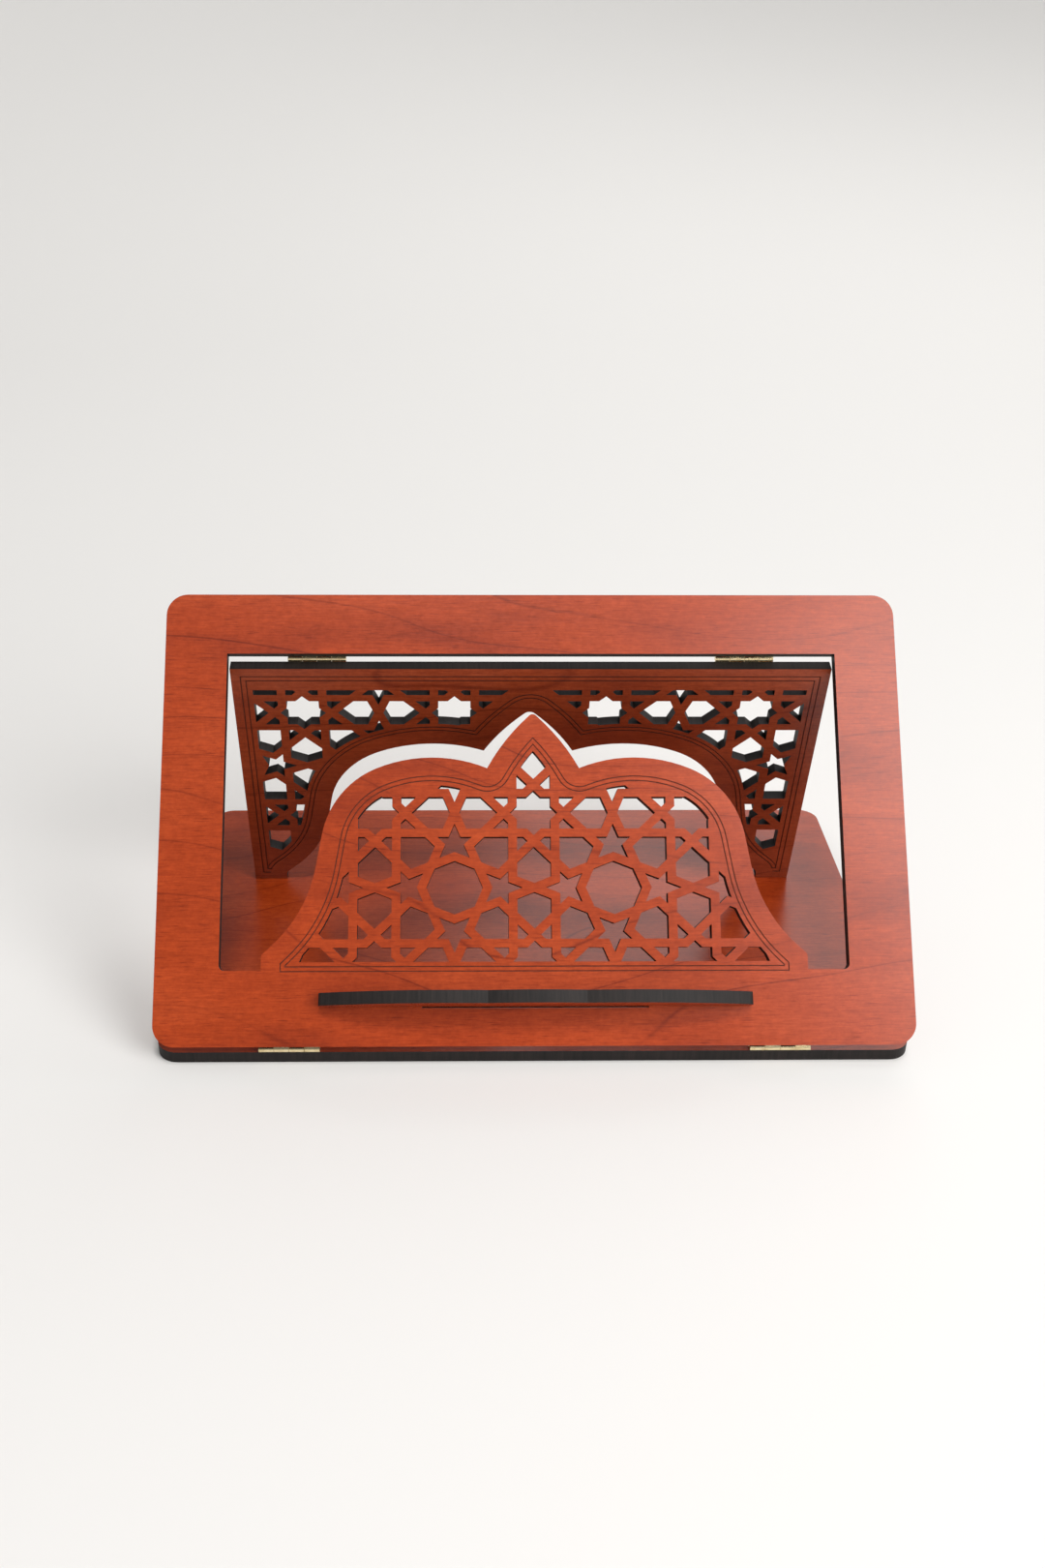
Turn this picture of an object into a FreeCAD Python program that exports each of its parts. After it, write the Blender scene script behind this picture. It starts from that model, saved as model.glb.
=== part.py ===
"""Folding quran stand: two boards hinged along the front, a pierced strut, a book ledge.

Frame, in millimetres: +X to the reader's right, +Y to the back, +Z up, with the origin at the
centre of the base board's underside. The boards are drawn flat in board coordinates: x across,
y up the board from its bottom edge, z out of its front face, with the back face at z = 0.
"""
import FreeCAD, Part
import math
import os

import Sketcher
from FreeCAD import Placement, Rotation, Vector

DIMENSIONS = {
    "board_width": 330.0,
    "board_height": 201.0,
    "board_thick": 5.5,
    "corner_radius": 9.5,
    "tilt_angle": 50.9,
    "opening_width": 274.5,
    "opening_bottom": 32.4,
    "opening_top": 173.5,
    "bell_apex": 146.4,
    "bell_half_width": 119.0,
    "bell_foot": 23.6,
    "cusp_offset": 20.5,
    "lobe_offset": 45.0,
    "lobe_radius": 65.0,
    "lobe_end_angle": 22.6,
    "lobe_top": 126.0,
    "shoulder_radius": 39.0,
    "shoulder_turn": 57.4,
    "flank_length": 15.0,
    "flare_radius": 60.0,
    "flare_turn": 37.0,
    "spade_bulge": 1.45,
    "tip_radius": 2.2,
    "pocket_radius": 2.5,
    "groove_first": 8.4,
    "groove_second": 10.4,
    "groove_width": 0.5,
    "groove_depth": 0.35,
    "window_inset": 12.4,
    "pitch_across": 70.0,
    "pitch_up": 66.1,
    "strap_offset": 9.4,
    "strap_width": 3.9,
    "least_hole_area": 7.0,
    "least_hole_breadth": 0.55,
    "bell_star_row": 101.2,
    "strut_star_row": 146.3,
    "strut_width": 273.1,
    "strut_bottom": 35.0,
    "strut_side_border": 9.3,
    "strut_top_border": 12.4,
    "strut_foot_border": 9.0,
    "edge_groove_first": 4.4,
    "edge_groove_second": 6.8,
    "arch_gap": 1.2,
    "hinge_gap": 1.2,
    "foot_clearance": 0.3,
    "hinge_length": 26.4,
    "barrel_radius": 1.4,
    "leaf_thick": 0.6,
    "leaf_reach": 9.6,
    "knuckle_gap": 0.16,
    "gap_overshoot": 0.3,
    "pin_radius": 0.7,
    "pin_clearance": 0.05,
    "front_hinge_offset": 106.7,
    "strut_hinge_offset": 97.4,
    "front_axis_setback": 0.45,
    "board_axis_reach": 0.9,
    "screw_spacing": 14.6,
    "screw_reach": 5.7,
    "screw_head_radius": 1.2,
    "screw_shank_radius": 0.6,
    "screw_length": 4.2,
    "screw_slot": 0.35,
    "screw_clearance": 0.05,
    "ledge_half_length": 93.5,
    "ledge_depth": 18.5,
    "ledge_cusp_offset": 21.0,
    "ledge_cusp_depth": 16.2,
    "ledge_lobe_offset": 50.0,
    "ledge_lobe_depth": 17.0,
    "ledge_end_depth": 6.0,
    "ledge_end_radius": 2.5,
    "ledge_top": 22.3,
    "ledge_rise": 4.8,
    "tab_half_length": 49.0,
    "tab_clearance": 0.15,
}

doc = FreeCAD.newDocument("quran_stand")
sheet = doc.addObject("Spreadsheet::Sheet", "dims")
for row, (alias, value) in enumerate(DIMENSIONS.items(), start=1):
    sheet.set(f"A{row}", alias)
    sheet.set(f"B{row}", str(value))
    sheet.setAlias(f"B{row}", alias)
doc.recompute()


def size(alias):
    """The value that the sheet holds for one driving dimension."""
    return float(sheet.get(alias))


X_AXIS = Vector(1, 0, 0)
Y_AXIS = Vector(0, 1, 0)
Z_AXIS = Vector(0, 0, 1)
NODES = []


def bind(target, **expressions):
    """Bind properties of one object to expressions of the sheet's cells."""
    for prop, expression in expressions.items():
        target.setExpression(prop, expression)


def finish_node(target, label, placement=None):
    """Name one sub-part, place it and put it on the list of sub-parts to write."""
    target.Label = label
    if placement is not None:
        target.Placement = placement
    NODES.append(target)
    return target


def shape_feature(name, shape):
    """A document object that holds a shape made with Part's own functions."""
    feature = doc.addObject("Part::Feature", name)
    feature.Shape = shape
    return feature


def boolean(kind, name, base, tool):
    """A cut of two document objects."""
    feature = doc.addObject(kind, name)
    feature.Base = base
    feature.Tool = tool
    return feature


# ---------------------------------------------------------------- sketches and bodies

def origin_plane(body, role):
    """One of the body's own origin planes, found by its role."""
    return next(plane for plane in body.Origin.OriginFeatures if plane.Role == role)


def new_sketch(body, name, role):
    """An empty sketch on one of the body's origin planes."""
    sketch = body.newObject("Sketcher::SketchObject", name)
    sketch.AttachmentSupport = [(origin_plane(body, role), "")]
    sketch.MapMode = "FlatFace"
    return sketch


def add_rectangle(sketch, low, high, width, height, left, bottom):
    """A rectangle whose size and lower left corner are bound to expressions."""
    corners = [(low[0], low[1]), (high[0], low[1]), (high[0], high[1]), (low[0], high[1])]
    points = [Vector(x, y, 0) for x, y in corners]
    first = sketch.GeometryCount
    for index in range(4):
        sketch.addGeometry(Part.LineSegment(points[index], points[(index + 1) % 4]), False)
    for index in range(4):
        after = first + (index + 1) % 4
        sketch.addConstraint(Sketcher.Constraint("Coincident", first + index, 2, after, 1))
    for index, kind in enumerate(("Horizontal", "Vertical", "Horizontal", "Vertical")):
        sketch.addConstraint(Sketcher.Constraint(kind, first + index))
    bound = (
        ("DistanceX", (first, 1, first, 2), high[0] - low[0], width),
        ("DistanceY", (first + 1, 1, first + 1, 2), high[1] - low[1], height),
        ("DistanceX", (-1, 1, first, 1), low[0], left),
        ("DistanceY", (-1, 1, first, 1), low[1], bottom),
    )
    for kind, where, value, expression in bound:
        index = sketch.addConstraint(Sketcher.Constraint(kind, *where, value))
        sketch.setExpression(f"Constraints[{index}]", expression)


def pad(body, name, sketch, length):
    """A pad whose length is bound to an expression."""
    feature = body.newObject("PartDesign::Pad", name)
    feature.Profile = sketch
    bind(feature, Length=length)
    sketch.Visibility = False
    return feature


def pocket_through(body, name, sketch):
    """A pocket through everything, both ways from its sketch."""
    feature = body.newObject("PartDesign::Pocket", name)
    feature.Profile = sketch
    feature.Type = "ThroughAll"
    feature.Midplane = True
    return feature


def upright_edges(shape):
    """Names of a plate's straight edges that stand square to its faces."""
    names = []
    for index, edge in enumerate(shape.Edges, start=1):
        first, last = edge.firstVertex().Point, edge.lastVertex().Point
        if math.hypot(first.x - last.x, first.y - last.y) < 0.001:
            names.append(f"Edge{index}")
    return names


def round_corners(body, name, base, radius, wanted=lambda x, y: True):
    """Fillet a plate's upright corners at the places that are wanted."""
    doc.recompute()
    edges = []
    for edge in upright_edges(base.Shape):
        place = base.Shape.getElement(edge).firstVertex().Point
        if wanted(place.x, place.y):
            edges.append(edge)
    feature = body.newObject("PartDesign::Fillet", name)
    feature.Base = (base, edges)
    bind(feature, Radius=radius)
    return feature


def board_blank(name, low_y, height):
    """A plain board with rounded corners, its back or under face on z = 0."""
    body = doc.addObject("PartDesign::Body", name)
    sketch = new_sketch(body, name + "_outline", "XY_Plane")
    half = size("board_width") / 2
    add_rectangle(sketch, (-half, low_y), (half, low_y + size("board_height")),
                  "dims.board_width", "dims.board_height", "-dims.board_width / 2", height)
    plate = pad(body, name + "_plate", sketch, "dims.board_thick")
    round_corners(body, name + "_corners", plate, "dims.corner_radius")
    return body


# ---------------------------------------------------------------- outlines

def mirrored(edges):
    """The same edges on the other side of the board's centre line, in path order."""
    return [edge.mirror(Vector(), X_AXIS) for edge in reversed(edges)]


class Path:
    """A chain of lines and tangent arcs, drawn like a pen that moves and turns."""

    def __init__(self, start, heading):
        self.point = start
        self.heading = math.radians(heading)
        self.edges = []

    def direction(self, turn=0.0):
        angle = self.heading + turn
        return Vector(math.cos(angle), math.sin(angle), 0)

    def line(self, length):
        """Go straight on."""
        self.line_to(self.point + self.direction() * length)

    def line_to(self, end):
        """Go straight to a point."""
        self.edges.append(Part.LineSegment(self.point, end).toShape())
        self.point = end

    def arc(self, radius, degrees):
        """Turn along an arc, to the left when the angle is positive."""
        turn = math.radians(degrees)
        side = math.copysign(math.pi / 2, turn)
        centre = self.point + self.direction(side) * radius
        half = centre - self.direction(side + turn / 2) * radius
        end = centre - self.direction(side + turn) * radius
        self.edges.append(Part.Arc(self.point, half, end).toShape())
        self.point = end
        self.heading += turn


def bell_left_side():
    """The left side of the bell: spade, lobe, shoulder, flank and flare."""
    lobe_radius = size("lobe_radius")
    lobe_centre = Vector(-size("lobe_offset"), size("lobe_top") - lobe_radius, 0)
    reach = size("lobe_offset") - size("cusp_offset")
    start_angle = math.degrees(math.asin(reach / lobe_radius))
    rise = math.sqrt(lobe_radius ** 2 - reach ** 2)
    cusp = Vector(-size("cusp_offset"), lobe_centre.y + rise, 0)
    apex = Vector(0, size("bell_apex"), 0)
    chord = cusp - apex
    outward = Vector(chord.y, -chord.x, 0).normalize()
    middle = (apex + cusp) * 0.5 + outward * size("spade_bulge")
    path = Path(cusp, 180 - start_angle)
    path.edges.append(Part.Arc(apex, middle, cusp).toShape())
    path.arc(lobe_radius, start_angle + size("lobe_end_angle"))
    path.arc(size("shoulder_radius"), size("shoulder_turn"))
    path.line(size("flank_length"))
    path.arc(size("flare_radius"), -size("flare_turn"))
    across = (size("bell_half_width") + path.point.x) / -path.direction().x
    path.line(across)
    path.line_to(Vector(path.point.x, size("bell_foot"), 0))
    return path.edges


def bell_face():
    """The bell ornament's outline, closed along a line inside the bottom rail."""
    left = bell_left_side()
    foot = Vector(size("bell_half_width"), size("bell_foot"), 0)
    closing = Part.LineSegment(Vector(-foot.x, foot.y, 0), foot).toShape()
    sharp = Part.Face(Part.Wire(left + [closing] + mirrored(left)))
    return grown(grown(sharp, -size("tip_radius")), size("tip_radius"))


def rectangle_face(left, bottom, right, top):
    """A plain rectangle in the board's plane."""
    corners = [(left, bottom), (right, bottom), (right, top), (left, top), (left, bottom)]
    return Part.Face(Part.makePolygon([Vector(x, y, 0) for x, y in corners]))


def grown(face, distance):
    """The face with its outline moved out by a distance, or in when it is negative."""
    return Part.Face(face.makeOffset2D(distance).Wires[0])


def groove(face, distance):
    """A thin band that follows the face's outline at a distance from it."""
    half = size("groove_width") / 2
    return grown(face, distance + half).cut(grown(face, distance - half))


# ---------------------------------------------------------------- star lattice

def polygon(points):
    """A flat face from a list of corner points."""
    ring = [Vector(x, y, 0) for x, y in points]
    return Part.Face(Part.makePolygon(ring + ring[:1]))


def turned(points, quarter_turns):
    """The points turned about the origin by quarter turns."""
    for _ in range(quarter_turns):
        points = [(-y, x) for x, y in points]
    return points


def symmetric(points):
    """The points, then their mirror images below the x axis, as one ring."""
    return points + [(x, -y) for x, y in reversed(points) if abs(y) > 0.001]


def crossing(first, second):
    """Where two lines meet, each given as its normal's angle in degrees and its distance."""
    angle_1, angle_2 = math.radians(first[0]), math.radians(second[0])
    det = math.sin(angle_2 - angle_1)
    x = (first[1] * math.sin(angle_2) - second[1] * math.sin(angle_1)) / det
    y = (second[1] * math.cos(angle_1) - first[1] * math.cos(angle_2)) / det
    return x, y


def star_centred_holes():
    """Openings round one star's centre: the star, and what stands between it and its neighbours."""
    half_strap = size("strap_width") / 2
    inner = size("strap_offset") - half_strap
    outer = size("strap_offset") + half_strap
    root = math.sqrt(2)
    eighth = math.radians(22.5)
    star = []
    for step in range(8):
        tip_angle = 2 * eighth * step
        for radius, angle in ((inner * root, tip_angle), (inner / math.cos(eighth), tip_angle + eighth)):
            star.append((radius * math.cos(angle), radius * math.sin(angle)))
    far = size("pitch_across") / 2 - half_strap / math.cos(eighth)
    hexagon = symmetric([
        (outer * root, 0),
        (outer * root + inner, inner),
        (far - inner * math.tan(eighth), inner),
        (far, 0),
    ])
    quad = [
        ((outer + inner) * root / 2, (outer - inner) * root / 2),
        (outer, outer * (root - 1)),
        (outer, inner),
        (inner * (1 + root), inner),
    ]
    quad_below = [(x, -y) for x, y in quad]
    holes = [star]
    for quarter in range(4):
        holes += [turned(ring, quarter) for ring in (hexagon, quad, quad_below)]
    return holes


def cell_centred_holes():
    """Openings round one cell's centre: an octagon, four five-pointed stars, four hexagons."""
    half_strap = size("strap_width") / 2
    inner = size("strap_offset") - half_strap
    outer = size("strap_offset") + half_strap
    half_pitch = size("pitch_across") / 2
    apothem = half_pitch * math.cos(math.radians(67.5))
    near, far = apothem - half_strap, apothem + half_strap
    side = (0, half_pitch - outer)
    octagon = [crossing((45 * step - 22.5, near), (45 * step + 22.5, near)) for step in range(8)]
    five_point = symmetric([
        crossing((22.5, far), (-22.5, far)),
        crossing((22.5, far), (67.5, near)),
        crossing((67.5, near), (-45, outer)),
        crossing(side, (-45, outer)),
        crossing(side, (67.5, near)),
        crossing((67.5, near), (-67.5, near)),
    ])
    hexagon = [
        crossing(side, (90, side[1])),
        crossing(side, (-45, inner)),
        crossing((-45, inner), (67.5, far)),
        crossing((67.5, far), (22.5, far)),
        crossing((22.5, far), (135, inner)),
        crossing((135, inner), (90, side[1])),
    ]
    holes = [octagon]
    for quarter in range(4):
        holes += [turned(ring, quarter) for ring in (five_point, hexagon)]
    return holes


def worth_cutting(face):
    """Whether a clipped opening is wide enough to be cut."""
    breadth = face.Area / face.Length
    return face.Area > size("least_hole_area") and breadth > size("least_hole_breadth")


def lattice_faces(window, star_x, star_y):
    """Every opening of the lattice that lies in the window, for a star centred at one point."""
    across, up = size("pitch_across"), size("pitch_up")
    squeeze = up / across
    box = window.BoundBox
    families = ((star_centred_holes(), 0.0), (cell_centred_holes(), 0.5))
    faces = []
    for holes, shift in families:
        first_column = math.floor((box.XMin - star_x) / across) - 1
        last_column = math.ceil((box.XMax - star_x) / across) + 1
        first_row = math.floor((box.YMin - star_y) / up) - 1
        last_row = math.ceil((box.YMax - star_y) / up) + 1
        for column in range(first_column, last_column + 1):
            for row in range(first_row, last_row + 1):
                middle_x = star_x + (column + shift) * across
                middle_y = star_y + (row + shift) * up
                for ring in holes:
                    hole = polygon([(middle_x + x, middle_y + y * squeeze) for x, y in ring])
                    if hole.BoundBox.intersect(box):
                        faces += [face for face in window.common(hole).Faces if worth_cutting(face)]
    return faces


def through_cutter(faces):
    """Prisms that cut faces right through a board."""
    spare = 1.0
    depth = Vector(0, 0, size("board_thick") + 2 * spare)
    return [face.translated(Vector(0, 0, -spare)).extrude(depth) for face in faces]


def groove_cutter(bands):
    """Shallow prisms that engrave bands in a board's front face."""
    spare = 0.5
    start = Vector(0, 0, size("board_thick") - size("groove_depth"))
    rise = Vector(0, 0, size("groove_depth") + spare)
    return [face.translated(start).extrude(rise) for band in bands for face in band.Faces]


# ---------------------------------------------------------------- where things stand

FRONT = -size("board_height") / 2
TILT = size("tilt_angle")
AXIS_HEIGHT = size("barrel_radius")
FRONT_AXIS = Vector(0, FRONT + size("front_axis_setback"), size("board_thick") + AXIS_HEIGHT)
STRUT_AXIS = Vector(0, size("opening_top") - size("hinge_gap") / 2, -AXIS_HEIGHT)
STRUT_TOP = size("opening_top") - size("hinge_gap")


def about_axis(point, degrees):
    """The placement that turns things about the X direction through one point."""
    return Placement(Vector(), Rotation(X_AXIS, degrees), point)


def board_placement():
    """From board coordinates to the stand: on the front hinges, leaning back."""
    local_axis = Vector(0, -size("board_axis_reach"), -AXIS_HEIGHT)
    lift = Placement(FRONT_AXIS - local_axis, Rotation())
    return about_axis(FRONT_AXIS, TILT) * lift


def strut_opening_angle():
    """How far the strut swings out of its opening before its feet meet the base board."""
    axis = board_placement().multVec(STRUT_AXIS)
    down = STRUT_AXIS.y - size("strut_bottom")
    front = size("board_thick") + AXIS_HEIGHT
    drop = axis.z - size("board_thick") - size("foot_clearance")
    past_upright = math.degrees(math.acos(drop / math.hypot(down, front)))
    return 90 - TILT + past_upright + math.degrees(math.atan2(front, down))


BOARD_PLACE = board_placement()
STRUT_ANGLE = strut_opening_angle()
STRUT_PLACE = BOARD_PLACE * about_axis(STRUT_AXIS, STRUT_ANGLE)


# Each leaf's own frame: x along the pin, y away from it over the wood, z out of the wood, with
# the pin's axis at y = 0 and z = barrel radius.
ON_TOP = Rotation()
UP_THE_BACK = Rotation(Y_AXIS, 180)
DOWN_THE_BACK = Rotation(X_AXIS, 180)


BASE_PLACE = Placement(Vector(0, 0, 0), Rotation())
HINGES = {}
for side, sign in (("left", -1), ("right", 1)):
    front_x = sign * size("front_hinge_offset")
    strut_x = sign * size("strut_hinge_offset")
    thick = size("board_thick")
    HINGES["front_" + side + "_hinge"] = (
        ("base", BASE_PLACE, ON_TOP, front_x, FRONT_AXIS.y, thick),
        ("board", BOARD_PLACE, UP_THE_BACK, front_x, -size("board_axis_reach"), 0.0),
    )
    HINGES["strut_" + side + "_hinge"] = (
        ("board", BOARD_PLACE, UP_THE_BACK, strut_x, STRUT_AXIS.y, 0.0),
        ("strut", STRUT_PLACE, DOWN_THE_BACK, strut_x, STRUT_AXIS.y, 0.0),
    )


# ---------------------------------------------------------------- hinges and screws

def leaf_body(name):
    """One hinge leaf: a plate with two rolled knuckles, two gaps, a pin bore and screw holes."""
    body = doc.addObject("PartDesign::Body", name)
    plate_sketch = new_sketch(body, name + "_outline", "XY_Plane")
    half = size("hinge_length") / 2
    reach = size("leaf_reach")
    add_rectangle(plate_sketch, (-half, 0), (half, reach), "dims.hinge_length", "dims.leaf_reach",
                  "-dims.hinge_length / 2", "0 mm")
    pad(body, name + "_plate", plate_sketch, "dims.leaf_thick")
    barrel = circle_feature(body, "PartDesign::Pad", name + "_barrel", "dims.barrel_radius")
    barrel.Midplane = True
    bind(barrel, Length="dims.hinge_length")
    doc.recompute()
    gaps = new_sketch(body, name + "_gap_outline", "XY_Plane")
    step = size("hinge_length") / 4
    spare = size("knuckle_gap") / 2
    depth = 2 * (size("barrel_radius") + size("gap_overshoot"))
    for index in (1, 3):
        low = (index - 2) * step - spare
        add_rectangle(gaps, (low, -depth / 2), (low + step + 2 * spare, depth / 2),
                      "dims.hinge_length / 4 + dims.knuckle_gap",
                      "2 * (dims.barrel_radius + dims.gap_overshoot)",
                      f"({index} - 2) * dims.hinge_length / 4 - dims.knuckle_gap / 2",
                      "-dims.barrel_radius - dims.gap_overshoot")
    pocket_through(body, name + "_gaps", gaps)
    doc.recompute()
    bore = circle_feature(body, "PartDesign::Pocket", name + "_bore",
                          "dims.pin_radius + dims.pin_clearance")
    bore.Type = "ThroughAll"
    bore.Midplane = True
    return body


def circle_feature(body, kind, name, radius):
    """A pad or pocket of a circle round the pin's axis."""
    sketch = new_sketch(body, name + "_circle", "YZ_Plane")
    centre = Vector(0, size("barrel_radius"), 0)
    sketch.addGeometry(Part.Circle(centre, Z_AXIS, 1.0), False)
    sketch.addConstraint(Sketcher.Constraint("PointOnObject", 0, 3, -2))
    height = sketch.addConstraint(Sketcher.Constraint("DistanceY", -1, 1, 0, 3, centre.y))
    sketch.setExpression(f"Constraints[{height}]", "dims.barrel_radius")
    spread = sketch.addConstraint(Sketcher.Constraint("Radius", 0, 1.0))
    sketch.setExpression(f"Constraints[{spread}]", radius)
    feature = body.newObject(kind, name)
    feature.Profile = sketch
    return feature


def screw_points():
    """Where a leaf's two screws stand in the leaf's own frame, on the wood's surface."""
    half = size("screw_spacing") / 2
    return [Vector(x, size("screw_reach"), 0) for x in (-half, half)]


def screw_solid(spare):
    """A countersunk screw under a leaf's surface, grown by some spare for the hole it stands in."""
    top = size("leaf_thick")
    shank = size("screw_shank_radius") + spare
    head = size("screw_head_radius") + spare
    cone = Part.makeCone(head, shank, head - shank, Vector(0, 0, top), -Z_AXIS)
    stem = Part.makeCylinder(shank, size("screw_length") + spare, Vector(0, 0, top), -Z_AXIS)
    if spare:
        mouth = Part.makeCylinder(head, 1.0, Vector(0, 0, top), Z_AXIS)
        return cone.fuse([stem, mouth]).removeSplitter()
    slot_wide, slot_deep = size("screw_slot"), size("screw_slot")
    slot = Part.makeBox(2 * head, slot_wide, slot_deep, Vector(-head, -slot_wide / 2, top - slot_deep))
    return cone.fuse(stem).removeSplitter().cut(slot)


def screw_set(spare):
    """A leaf's two screws, or the holes they need."""
    return Part.makeCompound([screw_solid(spare).translated(point) for point in screw_points()])


pilot_holes = {"base": [], "board": [], "strut": []}
for hinge, halves in HINGES.items():
    for index, (owner, place, turn, across, axis_y, surface_z) in enumerate(halves):
        local = Placement(Vector(across, axis_y, surface_z), turn)
        stem = f"{hinge}_{owner}"
        blank = leaf_body(stem + "_leaf_blank")
        drill = shape_feature(stem + "_leaf_drill", screw_set(size("screw_clearance")))
        leaf = boolean("Part::Cut", stem + "_leaf", blank, drill)
        finish_node(leaf, stem + "_leaf", place * local)
        screws = shape_feature(stem + "_screws", screw_set(0.0))
        finish_node(screws, stem + "_screws", place * local)
        hole = screw_set(size("screw_clearance"))
        hole.Placement = local
        pilot_holes[owner].append(hole)
    owner, place, turn, across, axis_y, surface_z = halves[0]
    pin = doc.addObject("Part::Cylinder", hinge + "_pin")
    bind(pin, Radius="dims.pin_radius", Height="dims.hinge_length")
    along = Rotation(Z_AXIS, X_AXIS)
    on_axis = Vector(-size("hinge_length") / 2, 0, size("barrel_radius"))
    pin_place = Placement(Vector(across, axis_y, surface_z), turn) * Placement(on_axis, along)
    finish_node(pin, hinge + "_pin", place * pin_place)


# ---------------------------------------------------------------- boards and ledge

def panel(name, blank, cutters, place):
    """A board cut by everything that goes through it or into it."""
    tool = shape_feature(name + "_cutters", Part.makeCompound(cutters))
    return finish_node(boolean("Part::Cut", name, blank, tool), name, place)


base_blank = board_blank("base_board_blank", FRONT, "-dims.board_height / 2")
panel("base_board", base_blank, pilot_holes["base"], BASE_PLACE)

frame_blank = board_blank("reading_board_frame", 0.0, "0 mm")
opening = new_sketch(frame_blank, "opening_outline", "XY_Plane")
half_opening = size("opening_width") / 2
add_rectangle(opening, (-half_opening, size("opening_bottom")), (half_opening, size("opening_top")),
              "dims.opening_width", "dims.opening_top - dims.opening_bottom",
              "-dims.opening_width / 2", "dims.opening_bottom")
pocket = pocket_through(frame_blank, "opening", opening)
pocket_floor = size("opening_bottom")
round_corners(frame_blank, "opening_corners", pocket, "dims.pocket_radius",
              lambda x, y: abs(y - pocket_floor) < 0.01)
bell = bell_face()
bell_plate = shape_feature("bell_plate", bell.extrude(Vector(0, 0, size("board_thick"))))
board_with_bell = doc.addObject("Part::MultiFuse", "reading_board_blank")
board_with_bell.Shapes = [frame_blank, bell_plate]
board_with_bell.Refine = True
bell_window = grown(bell, -size("window_inset"))
bell_bands = [groove(bell, -size("groove_first")), groove(bell, -size("groove_second"))]


LEDGE_RISE = math.radians(size("ledge_rise"))


def tab_slot():
    """The slot in the reading board for the ledge's tab, which slopes down to the back."""
    spare = size("tab_clearance")
    thick = size("board_thick")
    half = size("tab_half_length") + spare
    low = size("ledge_top") - thick / math.cos(LEDGE_RISE) - thick * math.tan(LEDGE_RISE) - spare
    high = size("ledge_top") + spare
    over = 1.0
    return Part.makeBox(2 * half, high - low, thick + 2 * over, Vector(-half, low, -over))


bell_holes = lattice_faces(bell_window, 0.0, size("bell_star_row"))
board_cutters = through_cutter(bell_holes) + groove_cutter(bell_bands) + [tab_slot()]
panel("reading_board", board_with_bell, board_cutters + pilot_holes["board"], BOARD_PLACE)

strut_blank = doc.addObject("PartDesign::Body", "strut_blank")
strut_outline = new_sketch(strut_blank, "strut_outline", "XY_Plane")
half_strut = size("strut_width") / 2
add_rectangle(strut_outline, (-half_strut, size("strut_bottom")), (half_strut, STRUT_TOP),
              "dims.strut_width", "dims.opening_top - dims.hinge_gap - dims.strut_bottom",
              "-dims.strut_width / 2", "dims.strut_bottom")
pad(strut_blank, "strut_plate", strut_outline, "dims.board_thick")
arch = grown(bell, size("arch_gap"))
side_limit = half_strut - size("strut_side_border")
strut_field = rectangle_face(-side_limit, size("strut_bottom") + size("strut_foot_border"),
                             side_limit, STRUT_TOP - size("strut_top_border"))
strut_window = strut_field.cut(grown(bell, size("arch_gap") + size("window_inset")))
strut_sheet = rectangle_face(-half_strut, size("strut_bottom"), half_strut, STRUT_TOP)
inner_sheet = grown(strut_sheet, -size("edge_groove_second"))
arch_bands = [groove(bell, size("arch_gap") + size(name)) for name in ("groove_first", "groove_second")]
strut_bands = [inner_sheet.common(band) for band in arch_bands]
outside_arch = grown(bell, size("arch_gap") + size("groove_first"))
strut_bands += [groove(strut_sheet, -size(name)).cut(outside_arch)
                for name in ("edge_groove_first", "edge_groove_second")]
strut_holes = lattice_faces(strut_window, size("pitch_across") / 2, size("strut_star_row"))
arch_spare = 1.0
arch_cutter = arch.translated(Vector(0, 0, -arch_spare))
arch_cutter = arch_cutter.extrude(Vector(0, 0, size("board_thick") + 2 * arch_spare))
strut_cutters = through_cutter(strut_holes) + groove_cutter(strut_bands) + [arch_cutter]
panel("strut_panel", strut_blank, strut_cutters + pilot_holes["strut"], STRUT_PLACE)


def ledge_outline():
    """The ledge from above: x across, y out of the board, with a tab behind y = 0."""
    cusp = Vector(-size("ledge_cusp_offset"), size("ledge_cusp_depth"), 0)
    other_cusp = Vector(-cusp.x, cusp.y, 0)
    tip = Vector(0, size("ledge_depth"), 0)
    lobe = Vector(-size("ledge_lobe_offset"), size("ledge_lobe_depth"), 0)
    end = Vector(-size("ledge_half_length"), size("ledge_end_depth"), 0)
    side = [
        Part.Arc(cusp, lobe, end).toShape(),
        Part.LineSegment(end, Vector(end.x, 0, 0)).toShape(),
    ]
    middle = Part.Arc(other_cusp, tip, cusp).toShape()
    tab_half = size("tab_half_length")
    tab_back = -size("board_thick")
    tab = [(end.x, 0), (-tab_half, 0), (-tab_half, tab_back),
           (tab_half, tab_back), (tab_half, 0), (-end.x, 0)]
    corners = [Vector(x, y, 0) for x, y in tab]
    rear = [Part.LineSegment(a, b).toShape() for a, b in zip(corners, corners[1:])]
    return Part.Face(Part.Wire([middle] + side + rear + mirrored(side)))


def ledge_solid():
    """The ledge with its two outer corners rounded, its top face at z = 0."""
    solid = ledge_outline().extrude(Vector(0, 0, size("board_thick")))
    end_depth = size("ledge_end_depth")
    upright = [solid.getElement(name) for name in upright_edges(solid)]
    corners = [edge for edge in upright if abs(edge.CenterOfMass.y - end_depth) < 0.01]
    return solid.makeFillet(size("ledge_end_radius"), corners)


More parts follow.
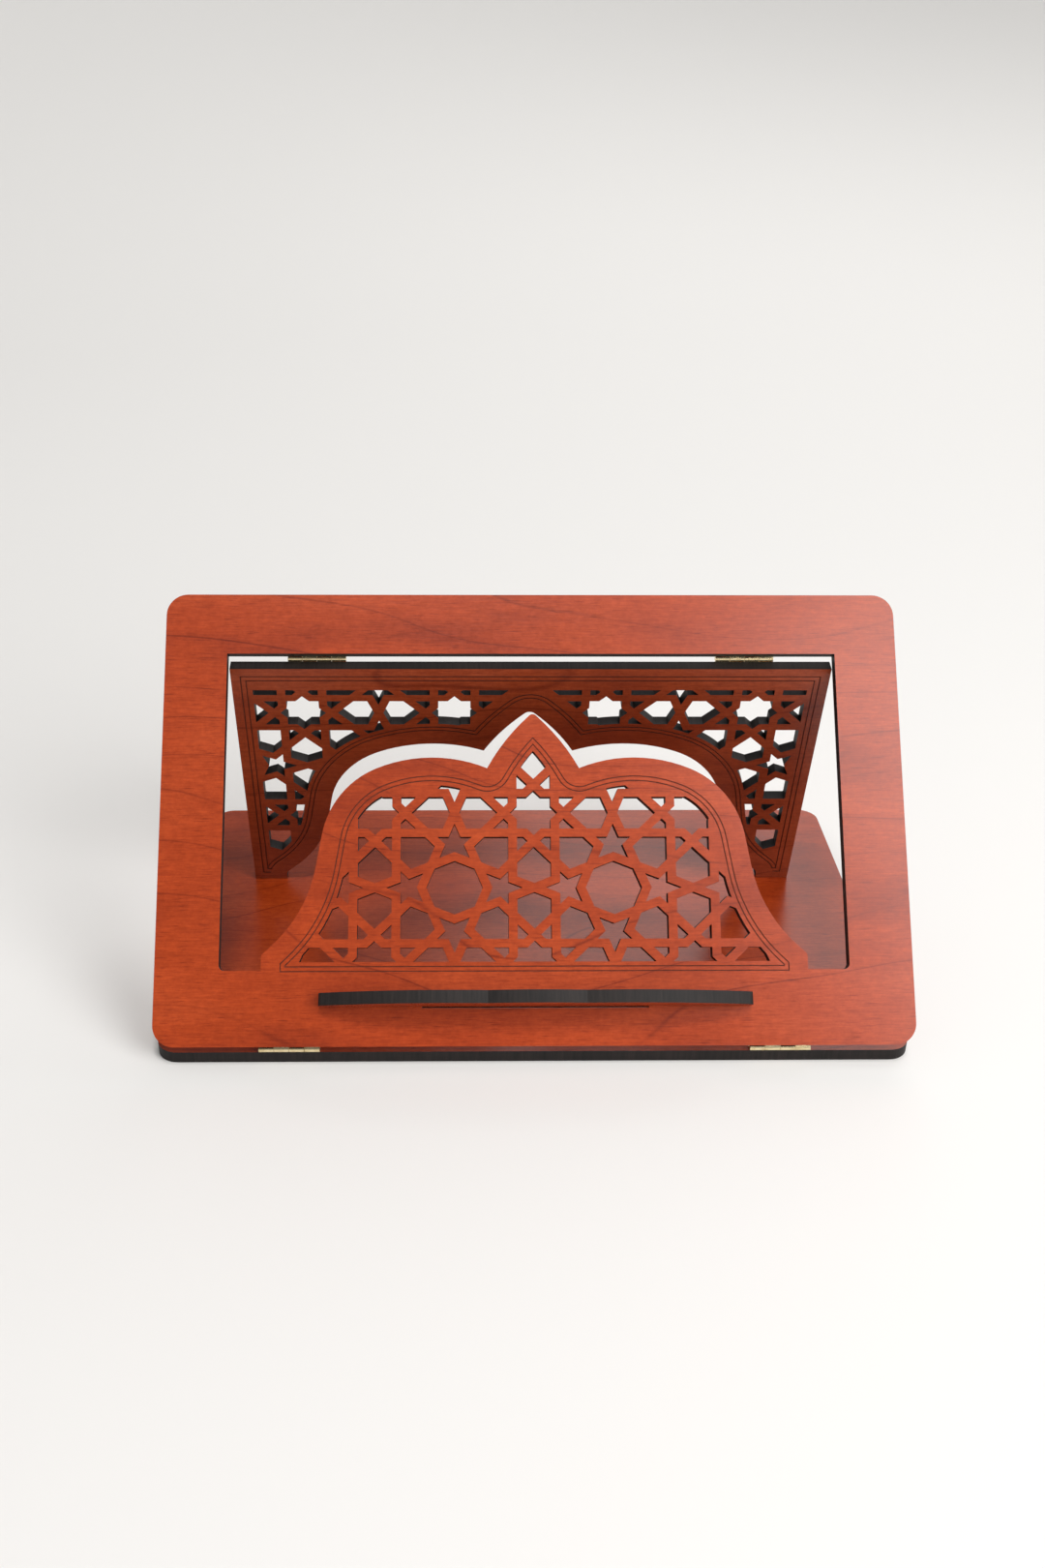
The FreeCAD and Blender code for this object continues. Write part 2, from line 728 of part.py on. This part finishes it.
# The ledge stands on the reading board's front face and rises a little towards the reader. Its
# plan's y is out of the board, and it turns about its rear top edge, which touches the board.
FLAT_ON_BOARD = Rotation(X_AXIS, 90 - size("ledge_rise"))
ledge = shape_feature("book_ledge", ledge_solid())
ledge_corner = Vector(0, size("ledge_top"), size("board_thick"))
finish_node(ledge, "book_ledge", BOARD_PLACE * Placement(ledge_corner, FLAT_ON_BOARD))


# ---------------------------------------------------------------- checks and files

doc.recompute()
for item in doc.Objects:
    if "Invalid" in item.State or "Error" in item.State:
        raise RuntimeError(f"{item.Name} failed: {item.State}")
for node in NODES:
    if node.Shape.isNull() or not node.Shape.isValid():
        raise RuntimeError(f"{node.Label} has no valid shape")

os.makedirs("parts", exist_ok=True)
for node in NODES:
    node.Shape.exportStep(f"parts/{node.Label}.step")
    box = node.Shape.BoundBox
    print(node.Label, len(node.Shape.Solids), round(node.Shape.Volume, 1), box)
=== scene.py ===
"""Looks of the folding quran stand: stained board with charred cut edges, and brass hinges.

Metres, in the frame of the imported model: +X to the reader's right, +Y to the back, +Z up.
"""
import math

import bpy
from mathutils import Matrix, Vector

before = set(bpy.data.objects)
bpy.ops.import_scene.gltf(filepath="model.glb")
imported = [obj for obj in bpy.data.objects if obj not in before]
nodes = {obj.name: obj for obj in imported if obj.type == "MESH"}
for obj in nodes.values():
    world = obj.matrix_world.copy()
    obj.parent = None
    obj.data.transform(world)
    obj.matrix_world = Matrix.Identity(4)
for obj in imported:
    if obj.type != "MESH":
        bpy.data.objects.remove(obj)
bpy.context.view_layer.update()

# ---------------------------------------------------------------- how the CAD pieces are dressed

ARRIS_WIDTH = 0.00016                # the break along a board's edges, which takes the pale arris colour
KNUCKLE_BEVEL = 0.00020              # the rounding of the brass pieces
ARRIS_SEGMENTS = 1
KNUCKLE_SEGMENTS = 2
SHARP_ANGLE = math.radians(40)       # edges sharper than this are broken or rounded
MERGE_ANGLE = math.radians(0.5)      # neighbouring facets flatter than this become one face
FACE_COSINE = 0.98                   # a facet this square to the board lies in a broad face
SURFACE_SPARE = 0.0001               # and within this of its outermost plane it is veneer
ENGRAVED_DEPTH = 0.0003              # the walls of the engraved lines end within this of the face
FACE_SLOT, EDGE_SLOT, ARRIS_SLOT, LINE_SLOT = range(4)

# ---------------------------------------------------------------- the stained veneer

BOARDS = ("base_board", "reading_board", "strut_panel", "book_ledge")
# Each board's painted shade, as a tint of the stain against the reading board's: the strut is
# painted darker and greyer for the shade it stands in under the board, the base a little darker
# in red.
BOARD_PAINTED_SHADES = {
    "base_board": (0.97, 1.0, 1.1),
    "reading_board": (1.0, 1.0, 1.0),
    "strut_panel": (0.70, 0.95, 1.9),
    "book_ledge": (1.0, 1.0, 1.0),
}
WOOD_PALE = (0.430, 0.060, 0.0105)
WOOD_MIDDLE = (0.372, 0.046, 0.0066)
WOOD_DARK = (0.272, 0.030, 0.0045)
CLOUD_PLACES = (0.32, 0.5, 0.70)     # where the noise turns dark, middle and pale
SEED_STEP = (1.7, 0.63, 0.21)        # how far apart two boards lie in the noise

# Noise of the veneer: scale along the grain and across it, detail, roughness.
CLOUDS = (7.0, 24.0, 3.0, 0.55)
PATCHES = (5.0, 30.0, 3.0, 0.55)
MOTTLE = (330.0, 420.0, 5.0, 0.75)
FIBRES = (80.0, 1000.0, 6.0, 0.70)
PORES = (110.0, 1900.0, 2.0, 0.5)
DEPTH_SHARE = 0.3                    # scale through the board as a share of that across the grain

# Growth lines: how many, how far they wander, and the scale of the wandering along three axes.
RINGS_PER_METRE = 48.0
RING_DRIFT = 7.0
DRIFT_SCALE = (3.2, 9.0, 3.0)
DRIFT_DETAIL = 2.0
DRIFT_ROUGHNESS = 0.45

# Tones that multiply the stain, from low noise to high: (place, colour).
RING_TONES = ((0.0, (0.95, 0.94, 0.93)), (0.10, (1.04, 1.04, 1.04)), (0.70, (1.0, 1.0, 1.0)),
              (0.95, (0.95, 0.93, 0.92)), (0.975, (0.56, 0.46, 0.42)), (1.0, (0.95, 0.94, 0.93)))
FIBRE_TONES = ((0.36, (0.80, 0.73, 0.70)), (0.62, (1.09, 1.09, 1.09)))
MOTTLE_TONES = ((0.36, (0.84, 0.79, 0.77)), (0.64, (1.09, 1.09, 1.09)))
PORE_TONES = ((0.60, (1.0, 1.0, 1.0)), (0.70, (0.55, 0.45, 0.42)))
FIBRE_STRENGTH = 0.8
MOTTLE_STRENGTH = 0.8
PORE_STRENGTH = 0.7
# How strongly the growth lines show, from low noise to high.
RING_STRENGTHS = ((0.38, (0.30, 0.30, 0.30)), (0.60, (1.0, 1.0, 1.0)))

LACQUER_ROUGHNESS = ((0.3, (0.235, 0.235, 0.235)), (0.7, (0.265, 0.265, 0.265)))
FIBRE_BUMP = 0.10
WOOD_BUMP_DISTANCE = 0.0002

# ---------------------------------------------------------------- the cut edges and the lines

SOOT_SCALE = (900.0, 900.0, 60.0)    # stretched through the board, as the laser burns it
SOOT_COLOURS = ((0.3, (0.006, 0.0042, 0.0038)), (0.7, (0.017, 0.012, 0.011)))
SOOT_BUMP = 0.35
SCORCH_SCALE = (60.0, 60.0, 40.0)
SCORCH_TONES = ((0.35, (0.7, 0.7, 0.7)), (0.7, (1.3, 1.25, 1.2)))
SCORCH_STRENGTH = 0.8
# A pale brown line along the broken arrises, in small patches.
ARRIS_SCALE = (220.0, 220.0, 220.0)
ARRIS_COLOURS = ((0.35, (0.13, 0.055, 0.035)), (0.7, (0.42, 0.24, 0.17)))
LINE_SCALE = (400.0, 400.0, 400.0)
LINE_COLOURS = ((0.35, (0.090, 0.016, 0.006)), (0.7, (0.170, 0.028, 0.010)))

# ---------------------------------------------------------------- the brass

# Each kind of hinge piece, by the end of its name: material name, colour, roughness.
BRASSES = {
    "_leaf": ("leaf_brass", (0.93, 0.78, 0.48), 0.18),
    "_pin": ("pin_brass", (0.78, 0.58, 0.28), 0.26),
    "_screws": ("screw_brass", (0.80, 0.62, 0.32), 0.24),
}
TOOL_LINE_SCALE = (120.0, 3200.0, 3200.0)    # stretched along the pins
TOOL_LINE_BUMP = 0.05
BRASS_BUMP_DISTANCE = 0.0001
TARNISH_SCALE = (260.0, 260.0, 260.0)
TARNISH_SHARE = (0.80, 0.75, 0.66)   # the tarnished colour as a share of the clean one
TARNISH_ROUGHNESS = 0.16             # how much rougher the tarnish is
TARNISH_PLACES = (0.34, 0.60)        # where the colour turns from tarnished to clean
DULL_PLACES = (0.3, 0.65)            # where the roughness does

# ---------------------------------------------------------------- floor, light and camera

FLOOR_COLOUR = (0.80, 0.79, 0.775, 1.0)
FLOOR_RADIUS = 1.2
SWEEP_RADIUS = 3.2
SWEEP_TURN = math.radians(72)
SWEEP_STEPS = 24
SWEEP_SIDES = 96

AIM = Vector((0.0, -0.02, 0.08))     # what every light faces
WORLD_COLOUR = (0.95, 0.97, 1.0, 1.0)
WORLD_STRENGTH = 0.20
KEY_PLACE = (8, 72)                  # azimuth and elevation, degrees
KEY_ANGLE = math.radians(14)
KEY_STRENGTH = 1.45
KEY_COLOUR = (1.0, 0.985, 0.96)
# Azimuth and elevation in degrees, distance, width, height, power, colour.
SOFTBOXES = {
    "right_softbox": (45, 35, 1.7, 0.9, 1.3, 22.0, (1.0, 0.99, 0.985)),
    "rear_softbox": (152, 38, 2.2, 1.8, 1.0, 10.0, (1.0, 0.99, 0.98)),
}

LENS = 34.03                         # millimetres, as the sensor's width
SENSOR_WIDTH = 36.0
SHIFT = (0.03, -0.03)
CLIP = (0.01, 50.0)                  # nearest and farthest distance seen
CAMERA_PLACE = (-0.0368, -0.6008, 0.4333)
CAMERA_PITCH = 28.551                # degrees down
CAMERA_YAW = 1.103                   # degrees to the right
CAMERA_ROLL = 0.504


# ---------------------------------------------------------------- materials

class Nodes:
    """A small helper to wire one material's shader nodes."""

    # The sockets of a Mix node that mixes colours.
    MIX_FACTOR, MIX_FIRST, MIX_SECOND, MIX_RESULT = 0, 6, 7, 2

    def __init__(self, name):
        self.material = bpy.data.materials.new(name)
        self.material.use_nodes = True
        self.tree = self.material.node_tree
        self.shader = self.tree.nodes["Principled BSDF"]

    def add(self, kind):
        return self.tree.nodes.new(kind)

    def link(self, source, target):
        self.tree.links.new(source, target)

    def set(self, **values):
        """Uniform values on the shader's own sockets."""
        for name, value in values.items():
            self.shader.inputs[name.replace("_", " ")].default_value = value

    def feed(self, **sources):
        """Links into the shader's own sockets."""
        for name, source in sources.items():
            self.link(source, self.shader.inputs[name.replace("_", " ")])

    def coordinates(self, scale, tilt=0.0, offset=(0.0, 0.0, 0.0)):
        """Object coordinates turned so that y runs up the board and z through it."""
        source = self.add("ShaderNodeTexCoord")
        turn = self.add("ShaderNodeMapping")
        turn.inputs["Rotation"].default_value = (-tilt, 0.0, 0.0)
        self.link(source.outputs["Object"], turn.inputs["Vector"])
        stretch = self.add("ShaderNodeMapping")
        stretch.inputs["Location"].default_value = offset
        stretch.inputs["Scale"].default_value = scale
        self.link(turn.outputs["Vector"], stretch.inputs["Vector"])
        return stretch.outputs["Vector"]

    def noise(self, vector, detail, roughness):
        """A noise texture's value; its scale is in the coordinates."""
        node = self.add("ShaderNodeTexNoise")
        node.inputs["Scale"].default_value = 1.0
        node.inputs["Detail"].default_value = detail
        node.inputs["Roughness"].default_value = roughness
        self.link(vector, node.inputs["Vector"])
        return node.outputs["Fac"]

    def ramp(self, factor, stops, smooth=False):
        """A colour ramp with stops of (place, colour)."""
        node = self.add("ShaderNodeValToRGB")
        ramp = node.color_ramp
        if smooth:
            ramp.interpolation = "EASE"
        while len(ramp.elements) < len(stops):
            ramp.elements.new(0.5)
        for element, (place, colour) in zip(ramp.elements, stops):
            element.position = place
            element.color = (*colour, 1.0)
        self.link(factor, node.inputs["Fac"])
        return node.outputs["Color"]

    def multiply(self, strength, colour, tone):
        """A colour times a tone; the strength is a value or a socket."""
        node = self.add("ShaderNodeMix")
        node.data_type = "RGBA"
        node.blend_type = "MULTIPLY"
        if isinstance(strength, bpy.types.NodeSocket):
            self.link(strength, node.inputs[self.MIX_FACTOR])
        else:
            node.inputs[self.MIX_FACTOR].default_value = strength
        self.link(colour, node.inputs[self.MIX_FIRST])
        self.link(tone, node.inputs[self.MIX_SECOND])
        return node.outputs[self.MIX_RESULT]

    def math(self, operation, first, second=None, third=None):
        """A Math node; the first and third inputs are sockets, the second a value."""
        node = self.add("ShaderNodeMath")
        node.operation = operation
        self.link(first, node.inputs[0])
        if second is not None:
            node.inputs[1].default_value = second
        if third is not None:
            self.link(third, node.inputs[2])
        return node.outputs["Value"]

    def ring_lines(self, tilt, offset):
        """Thin growth lines that wander along the grain, as a tone to multiply by."""
        drift = self.noise(self.coordinates(DRIFT_SCALE, tilt, offset), DRIFT_DETAIL,
                           DRIFT_ROUGHNESS)
        place = self.add("ShaderNodeSeparateXYZ")
        self.link(self.coordinates((1.0, 1.0, 1.0), tilt, offset), place.inputs["Vector"])
        climb = self.math("MULTIPLY", place.outputs["Y"], RINGS_PER_METRE)
        rings = self.math("MULTIPLY_ADD", drift, RING_DRIFT, climb)
        return self.ramp(self.math("FRACT", rings), RING_TONES)

    def bump(self, height, strength, distance):
        """Feed a bump map into the shader."""
        node = self.add("ShaderNodeBump")
        node.inputs["Strength"].default_value = strength
        node.inputs["Distance"].default_value = distance
        self.link(height, node.inputs["Height"])
        self.feed(Normal=node.outputs["Normal"])


def stained_wood(name, tilt, seed, painted_shade):
    """Red-brown stained veneer under a satin lacquer: grain along x, growth lines and pores,
    tinted by the board's painted shade.
    """
    made = Nodes(name)
    offset = tuple(seed * step for step in SEED_STEP)

    def grain(along, across, detail, roughness):
        scale = (along, across, across * DEPTH_SHARE)
        return made.noise(made.coordinates(scale, tilt, offset), detail, roughness)

    mottle = grain(*MOTTLE)
    fibres = grain(*FIBRES)
    # The stain colours times the board's painted shade.
    shaded_stains = [tuple(value * share for value, share in zip(wood, painted_shade))
              for wood in (WOOD_DARK, WOOD_MIDDLE, WOOD_PALE)]
    colour = made.ramp(grain(*CLOUDS), list(zip(CLOUD_PLACES, shaded_stains)), smooth=True)
    ring_strength = made.ramp(grain(*PATCHES), RING_STRENGTHS)
    colour = made.multiply(ring_strength, colour, made.ring_lines(tilt, offset))
    colour = made.multiply(FIBRE_STRENGTH, colour, made.ramp(fibres, FIBRE_TONES))
    colour = made.multiply(MOTTLE_STRENGTH, colour, made.ramp(mottle, MOTTLE_TONES))
    colour = made.multiply(PORE_STRENGTH, colour, made.ramp(grain(*PORES), PORE_TONES))
    made.feed(Base_Color=colour, Roughness=made.ramp(mottle, LACQUER_ROUGHNESS))
    made.set(Specular_IOR_Level=0.5)
    made.bump(fibres, FIBRE_BUMP, WOOD_BUMP_DISTANCE)
    return made.material


def charred_edge(name, tilt):
    """Laser-cut board edge: sooty black with faint upright burn lines."""
    made = Nodes(name)
    soot = made.noise(made.coordinates(SOOT_SCALE, tilt), detail=4.0, roughness=0.6)
    scorch = made.noise(made.coordinates(SCORCH_SCALE, tilt), detail=2.0, roughness=0.5)
    colour = made.multiply(SCORCH_STRENGTH, made.ramp(soot, SOOT_COLOURS),
                           made.ramp(scorch, SCORCH_TONES))
    made.feed(Base_Color=colour)
    made.set(Roughness=0.6, Specular_IOR_Level=0.3)
    made.bump(soot, SOOT_BUMP, WOOD_BUMP_DISTANCE)
    return made.material


def mottled(name, scale, colours, **surface):
    """A material of two colours that run into each other in small patches."""
    made = Nodes(name)
    patch = made.noise(made.coordinates(scale), detail=3.0, roughness=0.6)
    made.feed(Base_Color=made.ramp(patch, colours))
    made.set(**surface)
    return made.material


def brass(name, colour, roughness):
    """Drawn brass with fine tool lines along the pin and a little tarnish."""
    made = Nodes(name)
    lines = made.noise(made.coordinates(TOOL_LINE_SCALE), detail=2.0, roughness=0.5)
    tarnish = made.noise(made.coordinates(TARNISH_SCALE), detail=4.0, roughness=0.6)
    dull = tuple(value * share for value, share in zip(colour, TARNISH_SHARE))
    dull_tone, clean_tone = (roughness + TARNISH_ROUGHNESS,) * 3, (roughness,) * 3
    made.feed(Base_Color=made.ramp(tarnish, list(zip(TARNISH_PLACES, (dull, colour)))),
              Roughness=made.ramp(tarnish, list(zip(DULL_PLACES, (dull_tone, clean_tone)))))
    made.set(Metallic=1.0)
    made.bump(lines, TOOL_LINE_BUMP, BRASS_BUMP_DISTANCE)
    return made.material


# ---------------------------------------------------------------- dressing the CAD pieces

def board_angle(node):
    """How far a board leans back, found from the facets of its broad faces."""
    sums = {}
    for polygon in nodes[node].data.polygons:
        key = tuple(round(value, 1) for value in polygon.normal)
        sums[key] = sums.get(key, Vector()) + polygon.normal * polygon.area
    normal = max(sums.values(), key=lambda total: total.length).normalized()
    if normal.z < 0:
        normal = -normal
    return math.atan2(-normal.y, normal.z)


def soften(piece, width, segments, material=-1):
    """Merge each flat face and round the arrises of a piece by a hair."""
    flat = piece.modifiers.new("flat_faces", "DECIMATE")
    flat.decimate_type = "DISSOLVE"
    flat.angle_limit = MERGE_ANGLE
    bevel = piece.modifiers.new("arris", "BEVEL")
    bevel.width = width
    bevel.segments = segments
    bevel.limit_method = "ANGLE"
    bevel.angle_limit = SHARP_ANGLE
    bevel.material = material


def dress_board(node, angle, materials):
    """Veneer on a board's broad faces, char on its cut edges and a scorch in its lines."""
    piece = nodes[node]
    mesh = piece.data
    mesh.materials.clear()
    for material in materials:
        mesh.materials.append(material)
    normal = Vector((0.0, -math.sin(angle), math.cos(angle)))
    heights = [vertex.co.dot(normal) for vertex in mesh.vertices]
    low, high = min(heights), max(heights)
    for polygon in mesh.polygons:
        height = polygon.center.dot(normal)
        broad = abs(polygon.normal.dot(normal)) > FACE_COSINE
        if broad and min(height - low, high - height) < SURFACE_SPARE:
            polygon.material_index = FACE_SLOT
        elif broad or high - height < ENGRAVED_DEPTH:
            polygon.material_index = LINE_SLOT
        else:
            polygon.material_index = EDGE_SLOT
        polygon.use_smooth = False
    soften(piece, ARRIS_WIDTH, ARRIS_SEGMENTS, material=ARRIS_SLOT)


def dress_boards():
    """Every board in its own veneer, with one pale arris line and one engraving for all."""
    arris = mottled("pale_arris_line", ARRIS_SCALE, ARRIS_COLOURS,
                    Roughness=0.45, Specular_IOR_Level=0.5)
    engraving = mottled("engraved_line", LINE_SCALE, LINE_COLOURS,
                        Roughness=0.7, Specular_IOR_Level=0.3)
    angles = {board: board_angle(board) for board in BOARDS}
    for seed, (board, angle) in enumerate(angles.items(), start=1):
        # Each veneer carries its board's painted shade.
        veneer = stained_wood(board + "_veneer", angle, seed, BOARD_PAINTED_SHADES[board])
        edge = charred_edge(board + "_edge", angle)
        dress_board(board, angle, (veneer, edge, arris, engraving))


def dress_hinges():
    """Brass on the leaves, pins and screws."""
    metals = {ending: brass(*look) for ending, look in BRASSES.items()}
    for name, piece in nodes.items():
        if "_hinge_" not in name:
            continue
        metal = next(metal for ending, metal in metals.items() if name.endswith(ending))
        piece.data.materials.clear()
        piece.data.materials.append(metal)
        for polygon in piece.data.polygons:
            polygon.use_smooth = True
        soften(piece, KNUCKLE_BEVEL, KNUCKLE_SEGMENTS)


# ---------------------------------------------------------------- floor, light and camera

def studio_bowl():
    """A pale round floor that curves up into a backdrop on every side."""
    verts = [(0.0, 0.0, 0.0)]
    for step in range(SWEEP_STEPS + 1):
        climb = SWEEP_TURN * step / SWEEP_STEPS
        radius = FLOOR_RADIUS + SWEEP_RADIUS * math.sin(climb)
        height = SWEEP_RADIUS * (1 - math.cos(climb))
        for side in range(SWEEP_SIDES):
            angle = 2 * math.pi * side / SWEEP_SIDES
            verts.append((radius * math.cos(angle), radius * math.sin(angle), height))
    faces = []
    for side in range(SWEEP_SIDES):
        after = (side + 1) % SWEEP_SIDES
        faces.append((0, 1 + side, 1 + after))
        for ring in range(SWEEP_STEPS):
            low, high = 1 + ring * SWEEP_SIDES, 1 + (ring + 1) * SWEEP_SIDES
            faces.append((low + side, high + side, high + after, low + after))
    mesh = bpy.data.meshes.new("studio_bowl")
    mesh.from_pydata(verts, [], faces)
    for polygon in mesh.polygons:
        polygon.use_smooth = True
    bowl = bpy.data.objects.new("studio_bowl", mesh)
    bpy.context.scene.collection.objects.link(bowl)
    paint = Nodes("pale_floor")
    paint.set(Base_Color=FLOOR_COLOUR, Roughness=0.8, Specular_IOR_Level=0.2)
    mesh.materials.append(paint.material)


def direction(azimuth, elevation):
    """A unit vector towards a light: azimuth from the front, positive to the right."""
    turn, lift = math.radians(azimuth), math.radians(elevation)
    level = math.cos(lift)
    return Vector((math.sin(turn) * level, -math.cos(turn) * level, math.sin(lift)))


def add_light(name, kind, place, energy, colour):
    """A light at a place, facing the object and hidden from the camera."""
    data = bpy.data.lights.new(name, kind)
    data.energy = energy
    data.color = colour
    light = bpy.data.objects.new(name, data)
    light.location = place
    light.rotation_euler = (AIM - place).to_track_quat("-Z", "Y").to_euler()
    light.visible_camera = False
    bpy.context.scene.collection.objects.link(light)
    return data


def studio_light():
    """An overhead key, a softbox to the front right, one behind, and faint surroundings."""
    world = bpy.data.worlds.new("studio")
    world.use_nodes = True
    background = world.node_tree.nodes["Background"]
    background.inputs["Color"].default_value = WORLD_COLOUR
    background.inputs["Strength"].default_value = WORLD_STRENGTH
    bpy.context.scene.world = world
    key = add_light("overhead_key", "SUN", AIM + direction(*KEY_PLACE), KEY_STRENGTH, KEY_COLOUR)
    key.angle = KEY_ANGLE
    for name, (azimuth, elevation, distance, wide, tall, power, colour) in SOFTBOXES.items():
        place = AIM + distance * direction(azimuth, elevation)
        softbox = add_light(name, "AREA", place, power, colour)
        softbox.shape = "RECTANGLE"
        softbox.size = wide
        softbox.size_y = tall
    bpy.context.scene.view_settings.view_transform = "Standard"


def photo_camera():
    """The camera at the photograph's viewing angle."""
    data = bpy.data.cameras.new("camera")
    data.sensor_width = SENSOR_WIDTH
    data.lens = LENS
    data.shift_x, data.shift_y = SHIFT
    data.clip_start, data.clip_end = CLIP
    camera = bpy.data.objects.new("camera", data)
    turn = (Matrix.Rotation(math.radians(-CAMERA_YAW), 4, "Z")
            @ Matrix.Rotation(math.radians(90 - CAMERA_PITCH), 4, "X")
            @ Matrix.Rotation(math.radians(CAMERA_ROLL), 4, "Z"))
    camera.matrix_world = Matrix.Translation(CAMERA_PLACE) @ turn
    bpy.context.scene.collection.objects.link(camera)
    bpy.context.scene.camera = camera


dress_boards()
dress_hinges()
studio_bowl()
studio_light()
photo_camera()
